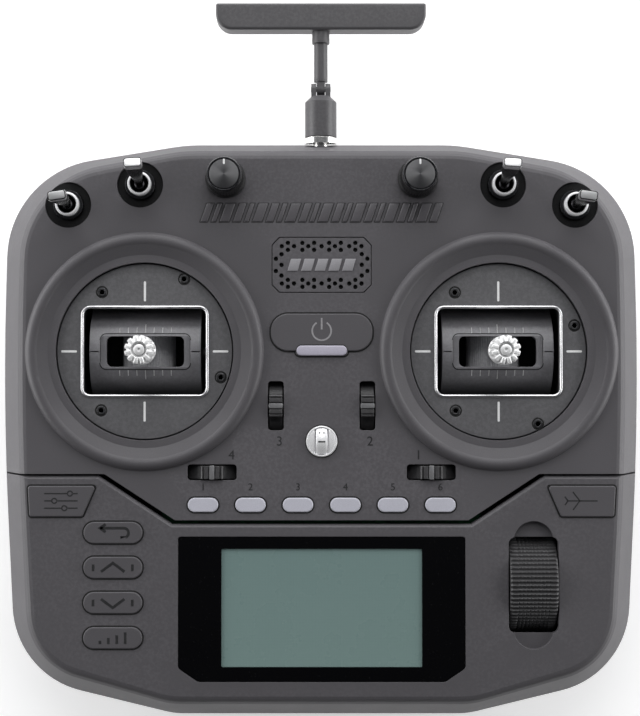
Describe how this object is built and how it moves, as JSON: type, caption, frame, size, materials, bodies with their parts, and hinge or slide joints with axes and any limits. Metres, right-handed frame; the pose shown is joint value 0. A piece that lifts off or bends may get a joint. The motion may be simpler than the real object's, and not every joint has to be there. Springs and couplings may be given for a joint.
{
  "type": "radio transmitter controller",
  "caption": "Handheld radio control transmitter with twin stick gimbals, toggle switches, knobs, trims, keys, scroll roller, display and folding T antenna.",
  "frame": {"origin": "on the rear rest plane, behind the middle of the case", "axes": "+Z out of the front face, +Y towards the antenna, +X to the right as seen by the user"},
  "size_m": [0.2342, 0.2625, 0.0745],
  "materials": {
    "case_plastic": "matte moulded",
    "plate_plastic": "fine matte",
    "dark_plastic": "satin",
    "antenna_plastic": "satin",
    "grip_rubber": "textured",
    "window_gloss": "gloss",
    "lcd_glass": "satin",
    "chrome": "polished",
    "nickel": "satin",
    "stick_aluminium": "knurled",
    "toggle_steel": "satin",
    "dark_steel": "black oxide",
    "pale_plastic": "satin",
    "board": "solder mask",
    "cell_sleeve": "shrink sleeve"
  },
  "bodies": {
    "root": {"front_case": "case_plastic", "lower_panel": "case_plastic", "rear_case": "case_plastic", "side_grips": "grip_rubber", "case_screws": "dark_steel", "screen_window": "window_gloss", "lcd_module": "lcd_glass", "speaker_grille": "case_plastic", "speaker": "dark_steel", "strap_lug": "chrome", "main_board": "board", "battery_cells": "cell_sleeve", "port_connectors": "nickel", "gimbal_plates": "plate_plastic", "gimbal_bezels": "chrome", "gimbal_screws": "dark_steel", "gimbal_housings": "dark_plastic", "switch_bushings": "nickel", "switch_cups": "dark_plastic", "pot_bodies": "nickel", "antenna_socket": "nickel"},
    "left_yoke_body": {"left_gimbal_yoke": "dark_plastic"},
    "left_stick_body": {"left_stick": "dark_plastic", "left_stick_tip": "stick_aluminium"},
    "left_outer_toggle_body": {"left_outer_toggle": "toggle_steel"},
    "left_inner_toggle_body": {"left_inner_toggle": "toggle_steel"},
    "left_knob_body": {"left_knob": "dark_plastic"},
    "left_upright_trim_body": {"left_upright_trim": "dark_plastic"},
    "left_level_trim_body": {"left_level_trim": "dark_plastic"},
    "left_shoulder_button_body": {"left_shoulder_button": "dark_plastic"},
    "right_yoke_body": {"right_gimbal_yoke": "dark_plastic"},
    "right_stick_body": {"right_stick": "dark_plastic", "right_stick_tip": "stick_aluminium"},
    "right_outer_toggle_body": {"right_outer_toggle": "toggle_steel"},
    "right_inner_toggle_body": {"right_inner_toggle": "toggle_steel"},
    "right_knob_body": {"right_knob": "dark_plastic"},
    "right_upright_trim_body": {"right_upright_trim": "dark_plastic"},
    "right_level_trim_body": {"right_level_trim": "dark_plastic"},
    "right_shoulder_button_body": {"right_shoulder_button": "dark_plastic"},
    "power_button_body": {"power_button": "case_plastic"},
    "light_button_1_body": {"light_button_1": "pale_plastic"},
    "light_button_2_body": {"light_button_2": "pale_plastic"},
    "light_button_3_body": {"light_button_3": "pale_plastic"},
    "light_button_4_body": {"light_button_4": "pale_plastic"},
    "light_button_5_body": {"light_button_5": "pale_plastic"},
    "light_button_6_body": {"light_button_6": "pale_plastic"},
    "return_key_body": {"return_key": "case_plastic"},
    "page_up_key_body": {"page_up_key": "case_plastic"},
    "page_down_key_body": {"page_down_key": "case_plastic"},
    "telemetry_key_body": {"telemetry_key": "case_plastic"},
    "system_key_body": {"system_key": "case_plastic"},
    "model_key_body": {"model_key": "case_plastic"},
    "roller_carrier_body": {"roller_carrier": "dark_steel"},
    "roller_body": {"scroll_roller": "dark_plastic"},
    "battery_door_body": {"battery_door": "case_plastic"},
    "module_bay_cover_body": {"module_bay_cover": "case_plastic"},
    "antenna_sleeve_body": {"antenna_sleeve": "antenna_plastic", "antenna_pin": "dark_steel"},
    "antenna_mast_body": {"antenna_mast": "antenna_plastic", "antenna_bar": "antenna_plastic"}
  },
  "joints": [
    {"name": "antenna_swivel", "type": "hinge", "parent": "root", "child": "antenna_sleeve_body", "pos_m": [0, 0.1075, 0.0275], "axis": [0, 1, 0], "range_deg": [-90, 90]},
    {"name": "antenna_fold", "type": "hinge", "parent": "antenna_sleeve_body", "child": "antenna_mast_body", "pos_m": [0, 0.1256, 0.0275], "axis": [1, 0, 0], "range_deg": [-90, 90]},
    {"name": "battery_door_slide", "type": "slide", "parent": "root", "child": "battery_door_body", "axis": [0, 0, -1], "range_m": [0, 0.02]},
    {"name": "module_bay_cover_slide", "type": "slide", "parent": "root", "child": "module_bay_cover_body", "axis": [0, 0, -1], "range_m": [0, 0.02]},
    {"name": "roller_press", "type": "slide", "parent": "root", "child": "roller_carrier_body", "axis": [0, 0, -1], "range_m": [0, 0.001], "stiffness_N_per_m": 900},
    {"name": "roller_spin", "type": "hinge", "parent": "roller_carrier_body", "child": "roller_body", "pos_m": [0.0757, -0.0561, 0.0315], "axis": [1, 0, 0], "continuous": true},
    {"name": "left_stick_pitch", "type": "hinge", "parent": "root", "child": "left_yoke_body", "pos_m": [-0.0635, 0.0274, 0.028], "axis": [1, 0, 0], "range_deg": [-24, 24]},
    {"name": "left_stick_roll", "type": "hinge", "parent": "left_yoke_body", "child": "left_stick_body", "pos_m": [-0.0635, 0.0274, 0.028], "axis": [0, 1, 0], "range_deg": [-24, 24], "stiffness_Nm_per_rad": 0.05},
    {"name": "right_stick_pitch", "type": "hinge", "parent": "root", "child": "right_yoke_body", "pos_m": [0.0635, 0.0274, 0.028], "axis": [1, 0, 0], "range_deg": [-24, 24], "stiffness_Nm_per_rad": 0.05},
    {"name": "right_stick_roll", "type": "hinge", "parent": "right_yoke_body", "child": "right_stick_body", "pos_m": [0.0635, 0.0274, 0.028], "axis": [0, 1, 0], "range_deg": [-24, 24], "stiffness_Nm_per_rad": 0.05},
    {"name": "left_outer_toggle_throw", "type": "hinge", "parent": "root", "child": "left_outer_toggle_body", "pos_m": [-0.091, 0.08, 0.0485], "axis": [1, 0, 0], "range_deg": [-9, 9]},
    {"name": "left_inner_toggle_throw", "type": "hinge", "parent": "root", "child": "left_inner_toggle_body", "pos_m": [-0.0652, 0.0873, 0.0485], "axis": [1, 0, 0], "range_deg": [0, 18]},
    {"name": "right_outer_toggle_throw", "type": "hinge", "parent": "root", "child": "right_outer_toggle_body", "pos_m": [0.091, 0.08, 0.0485], "axis": [1, 0, 0], "range_deg": [-9, 9]},
    {"name": "right_inner_toggle_throw", "type": "hinge", "parent": "root", "child": "right_inner_toggle_body", "pos_m": [0.0652, 0.0873, 0.0485], "axis": [1, 0, 0], "range_deg": [0, 18]},
    {"name": "left_knob_turn", "type": "hinge", "parent": "root", "child": "left_knob_body", "pos_m": [-0.0345, 0.0894, 0.0475], "axis": [0, 0, 1], "range_deg": [-140, 140]},
    {"name": "right_knob_turn", "type": "hinge", "parent": "root", "child": "right_knob_body", "pos_m": [0.0345, 0.0894, 0.0475], "axis": [0, 0, 1], "range_deg": [-140, 140]},
    {"name": "left_upright_trim_rock", "type": "hinge", "parent": "root", "child": "left_upright_trim_body", "pos_m": [-0.0164, 0.0079, 0.0337], "axis": [1, 0, 0], "range_deg": [-12, 12], "stiffness_Nm_per_rad": 0.02},
    {"name": "left_level_trim_rock", "type": "hinge", "parent": "root", "child": "left_level_trim_body", "pos_m": [-0.0392, -0.0159, 0.0337], "axis": [0, 1, 0], "range_deg": [-12, 12], "stiffness_Nm_per_rad": 0.02},
    {"name": "right_upright_trim_rock", "type": "hinge", "parent": "root", "child": "right_upright_trim_body", "pos_m": [0.0164, 0.0079, 0.0337], "axis": [1, 0, 0], "range_deg": [-12, 12], "stiffness_Nm_per_rad": 0.02},
    {"name": "right_level_trim_rock", "type": "hinge", "parent": "root", "child": "right_level_trim_body", "pos_m": [0.0392, -0.0159, 0.0337], "axis": [0, 1, 0], "range_deg": [-12, 12], "stiffness_Nm_per_rad": 0.02},
    {"name": "left_shoulder_button_press", "type": "slide", "parent": "root", "child": "left_shoulder_button_body", "axis": [0, -1, 0], "range_m": [0, 0.001], "stiffness_N_per_m": 300},
    {"name": "right_shoulder_button_press", "type": "slide", "parent": "root", "child": "right_shoulder_button_body", "axis": [0, -1, 0], "range_m": [0, 0.001], "stiffness_N_per_m": 300},
    {"name": "power_button_press", "type": "slide", "parent": "root", "child": "power_button_body", "axis": [0, 0, -1], "range_m": [0, 0.0008], "stiffness_N_per_m": 400},
    {"name": "return_key_press", "type": "slide", "parent": "root", "child": "return_key_body", "axis": [0, 0, -1], "range_m": [0, 0.0008], "stiffness_N_per_m": 300},
    {"name": "page_up_key_press", "type": "slide", "parent": "root", "child": "page_up_key_body", "axis": [0, 0, -1], "range_m": [0, 0.0008], "stiffness_N_per_m": 300},
    {"name": "page_down_key_press", "type": "slide", "parent": "root", "child": "page_down_key_body", "axis": [0, 0, -1], "range_m": [0, 0.0008], "stiffness_N_per_m": 300},
    {"name": "telemetry_key_press", "type": "slide", "parent": "root", "child": "telemetry_key_body", "axis": [0, 0, -1], "range_m": [0, 0.0008], "stiffness_N_per_m": 300},
    {"name": "system_key_press", "type": "slide", "parent": "root", "child": "system_key_body", "axis": [0, 0, -1], "range_m": [0, 0.0008], "stiffness_N_per_m": 300},
    {"name": "model_key_press", "type": "slide", "parent": "root", "child": "model_key_body", "axis": [0, 0, -1], "range_m": [0, 0.0008], "stiffness_N_per_m": 300},
    {"name": "light_button_1_press", "type": "slide", "parent": "root", "child": "light_button_1_body", "axis": [0, 0, -1], "range_m": [0, 0.0008], "stiffness_N_per_m": 300},
    {"name": "light_button_2_press", "type": "slide", "parent": "root", "child": "light_button_2_body", "axis": [0, 0, -1], "range_m": [0, 0.0008], "stiffness_N_per_m": 300},
    {"name": "light_button_3_press", "type": "slide", "parent": "root", "child": "light_button_3_body", "axis": [0, 0, -1], "range_m": [0, 0.0008], "stiffness_N_per_m": 300},
    {"name": "light_button_4_press", "type": "slide", "parent": "root", "child": "light_button_4_body", "axis": [0, 0, -1], "range_m": [0, 0.0008], "stiffness_N_per_m": 300},
    {"name": "light_button_5_press", "type": "slide", "parent": "root", "child": "light_button_5_body", "axis": [0, 0, -1], "range_m": [0, 0.0008], "stiffness_N_per_m": 300},
    {"name": "light_button_6_press", "type": "slide", "parent": "root", "child": "light_button_6_body", "axis": [0, 0, -1], "range_m": [0, 0.0008], "stiffness_N_per_m": 300}
  ]
}
